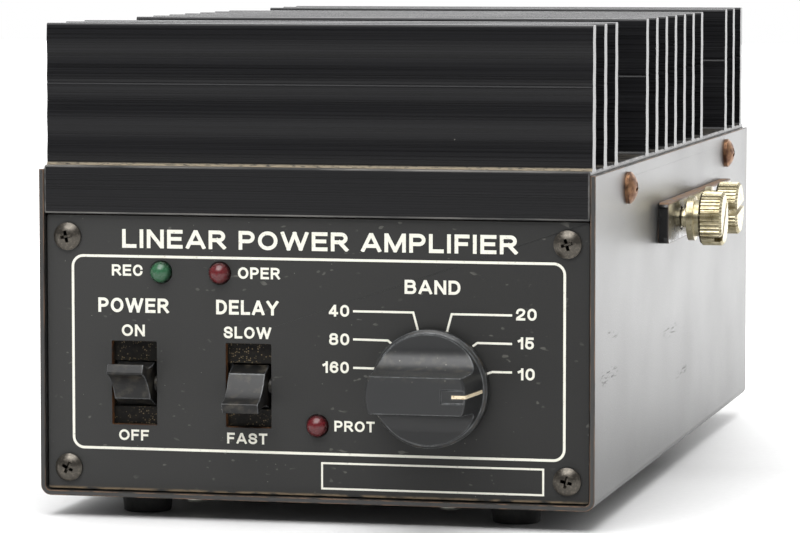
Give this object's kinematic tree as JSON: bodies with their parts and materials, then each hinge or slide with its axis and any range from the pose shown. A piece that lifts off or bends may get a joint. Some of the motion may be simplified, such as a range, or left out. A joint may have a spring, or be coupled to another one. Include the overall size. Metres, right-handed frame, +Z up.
{
  "type": "radio frequency power amplifier",
  "caption": "Desk-top radio power amplifier: folded steel case under a finned heat-sink lid, with paddle switches, lamps, a band knob, coax sockets, side rails and thumb screws.",
  "frame": {"origin": "on the floor under the feet, at the centre of the overall footprint", "axes": "+X to the right seen from the front, +Y to the back, +Z up; the control panel faces -Y"},
  "size_m": [0.1568, 0.2716, 0.114],
  "materials": {
    "satin_case_paint": "satin black enamel with fine orange peel",
    "black_anodised_aluminium": "black anodised extrusion with sawn ends",
    "black_panel_paint": "fine-grained satin black paint",
    "zinc_plated_steel": "bright zinc plate",
    "blackened_steel": "black oxide",
    "copper_plated_steel": "dull copper plate",
    "black_rubber": "matte",
    "switch_plastic": "moulded black nylon",
    "knob_phenolic": "satin moulded phenolic",
    "pointer_paint": "cream filled line",
    "tinned_brass": "tinned",
    "zinc_die_casting": "plain casting",
    "paper_phenolic": "brown laminate",
    "nickel_plated_brass": "bright nickel plate",
    "moulded_nylon": "moulded",
    "glass_epoxy_board": "green solder mask",
    "ceramic_and_gold": "white ceramic on a gold-plated flange",
    "ferrite": "sintered",
    "dipped_mica": "dipped brown",
    "capacitor_sleeve": "shrunk sleeve",
    "green_lens": "tinted diffused lens",
    "red_lens": "tinted diffused lens",
    "nickel_plated_steel": "worn bright nickel"
  },
  "bodies": {
    "root": {"lower_case": "satin_case_paint", "heat_sink": "black_anodised_aluminium", "front_panel": "black_panel_paint", "front_bracket": "black_panel_paint", "rear_panel": "black_panel_paint", "rear_bracket": "zinc_plated_steel", "panel_screws": "blackened_steel", "side_screws": "copper_plated_steel", "chassis_screws": "zinc_plated_steel", "rubber_feet": "black_rubber", "foot_screws": "zinc_plated_steel", "rail_nuts": "zinc_plated_steel", "switch_housings": "switch_plastic", "switch_pins": "zinc_plated_steel", "solder_lugs": "tinned_brass", "switch_screws": "zinc_plated_steel", "led_clips": "switch_plastic", "switch_index": "zinc_die_casting", "switch_nut": "zinc_plated_steel", "switch_wafers": "paper_phenolic", "switch_rods": "zinc_plated_steel", "socket_screws": "zinc_plated_steel", "phono_jacks": "nickel_plated_brass", "power_inlet": "moulded_nylon", "ground_stud": "nickel_plated_brass", "filter_board": "glass_epoxy_board", "relay_board": "glass_epoxy_board", "board_spacers": "zinc_plated_steel", "board_screws": "zinc_plated_steel", "pa_board": "glass_epoxy_board", "pa_transistors": "ceramic_and_gold", "pa_transformers": "ferrite", "filter_coils": "ferrite", "filter_capacitors": "dipped_mica", "antenna_relay": "switch_plastic", "supply_capacitor": "capacitor_sleeve", "green_led": "green_lens", "red_leds": "red_lens", "output_socket": "nickel_plated_brass", "input_socket": "nickel_plated_brass", "left_mount_rail": "black_panel_paint", "right_mount_rail": "black_panel_paint"},
    "band_switch": {"band_knob": "knob_phenolic", "knob_pointer": "pointer_paint", "knob_grub_screw": "zinc_plated_steel", "band_shaft": "zinc_plated_steel", "detent_wheel": "zinc_die_casting", "switch_rotors": "paper_phenolic"},
    "power_paddle": {"power_paddle": "switch_plastic"},
    "delay_paddle": {"delay_paddle": "switch_plastic"},
    "ground_washer": {"ground_washer": "nickel_plated_brass"},
    "ground_wing_nut": {"ground_wing_nut": "nickel_plated_brass"},
    "left_front_thumb_washer": {"left_front_thumb_washer": "nickel_plated_steel"},
    "left_front_thumb_screw": {"left_front_thumb_screw": "nickel_plated_steel"},
    "left_rear_thumb_washer": {"left_rear_thumb_washer": "nickel_plated_steel"},
    "left_rear_thumb_screw": {"left_rear_thumb_screw": "nickel_plated_steel"},
    "right_front_thumb_washer": {"right_front_thumb_washer": "nickel_plated_steel"},
    "right_front_thumb_screw": {"right_front_thumb_screw": "nickel_plated_steel"},
    "right_rear_thumb_washer": {"right_rear_thumb_washer": "nickel_plated_steel"},
    "right_rear_thumb_screw": {"right_rear_thumb_screw": "nickel_plated_steel"}
  },
  "joints": [
    {"name": "band_knob_turn", "type": "hinge", "parent": "root", "child": "band_switch", "pos_m": [0.0273, -0.1182, 0.03195], "axis": [0, 1, 0], "range_deg": [-150, 0]},
    {"name": "power_paddle_tilt", "type": "hinge", "parent": "root", "child": "power_paddle", "pos_m": [-0.04275, -0.1158, 0.0311], "axis": [1, 0, 0], "range_deg": [0, 46]},
    {"name": "delay_paddle_tilt", "type": "hinge", "parent": "root", "child": "delay_paddle", "pos_m": [-0.0156, -0.1158, 0.0311], "axis": [1, 0, 0], "range_deg": [-46, 0]},
    {"name": "left_front_thumb_screw_travel", "type": "slide", "parent": "root", "child": "left_front_thumb_washer", "axis": [-1, 0, 0], "range_m": [-0.00189, 0.00444]},
    {"name": "left_front_thumb_screw_turn", "type": "hinge", "parent": "left_front_thumb_washer", "child": "left_front_thumb_screw", "pos_m": [-0.0695, -0.0132, 0.064], "axis": [-1, 0, 0], "range_deg": [-850, 2000]},
    {"name": "left_rear_thumb_screw_travel", "type": "slide", "parent": "root", "child": "left_rear_thumb_washer", "axis": [-1, 0, 0], "range_m": [0, 0.0064]},
    {"name": "left_rear_thumb_screw_turn", "type": "hinge", "parent": "left_rear_thumb_washer", "child": "left_rear_thumb_screw", "pos_m": [-0.0676, 0.0273, 0.064], "axis": [-1, 0, 0], "range_deg": [0, 2880]},
    {"name": "right_front_thumb_screw_travel", "type": "slide", "parent": "root", "child": "right_front_thumb_washer", "axis": [1, 0, 0], "range_m": [-0.00189, 0.00444]},
    {"name": "right_front_thumb_screw_turn", "type": "hinge", "parent": "right_front_thumb_washer", "child": "right_front_thumb_screw", "pos_m": [0.0695, -0.0132, 0.064], "axis": [1, 0, 0], "range_deg": [-850, 2000]},
    {"name": "right_rear_thumb_screw_travel", "type": "slide", "parent": "root", "child": "right_rear_thumb_washer", "axis": [1, 0, 0], "range_m": [0, 0.0064]},
    {"name": "right_rear_thumb_screw_turn", "type": "hinge", "parent": "right_rear_thumb_washer", "child": "right_rear_thumb_screw", "pos_m": [0.0676, 0.0273, 0.064], "axis": [1, 0, 0], "range_deg": [0, 2880]},
    {"name": "ground_wing_nut_travel", "type": "slide", "parent": "root", "child": "ground_washer", "axis": [0, 1, 0], "range_m": [0, 0.008]},
    {"name": "ground_wing_nut_turn", "type": "hinge", "parent": "ground_washer", "child": "ground_wing_nut", "pos_m": [0.0415, 0.1203, 0.02], "axis": [0, 1, 0], "range_deg": [0, 3600]}
  ],
  "couplings": [
    {"joint": "left_front_thumb_screw_turn", "follows": "left_front_thumb_screw_travel", "rad_per_m": 7854},
    {"joint": "left_rear_thumb_screw_turn", "follows": "left_rear_thumb_screw_travel", "rad_per_m": 7854},
    {"joint": "right_front_thumb_screw_turn", "follows": "right_front_thumb_screw_travel", "rad_per_m": 7854},
    {"joint": "right_rear_thumb_screw_turn", "follows": "right_rear_thumb_screw_travel", "rad_per_m": 7854},
    {"joint": "ground_wing_nut_turn", "follows": "ground_wing_nut_travel", "rad_per_m": 7854}
  ]
}
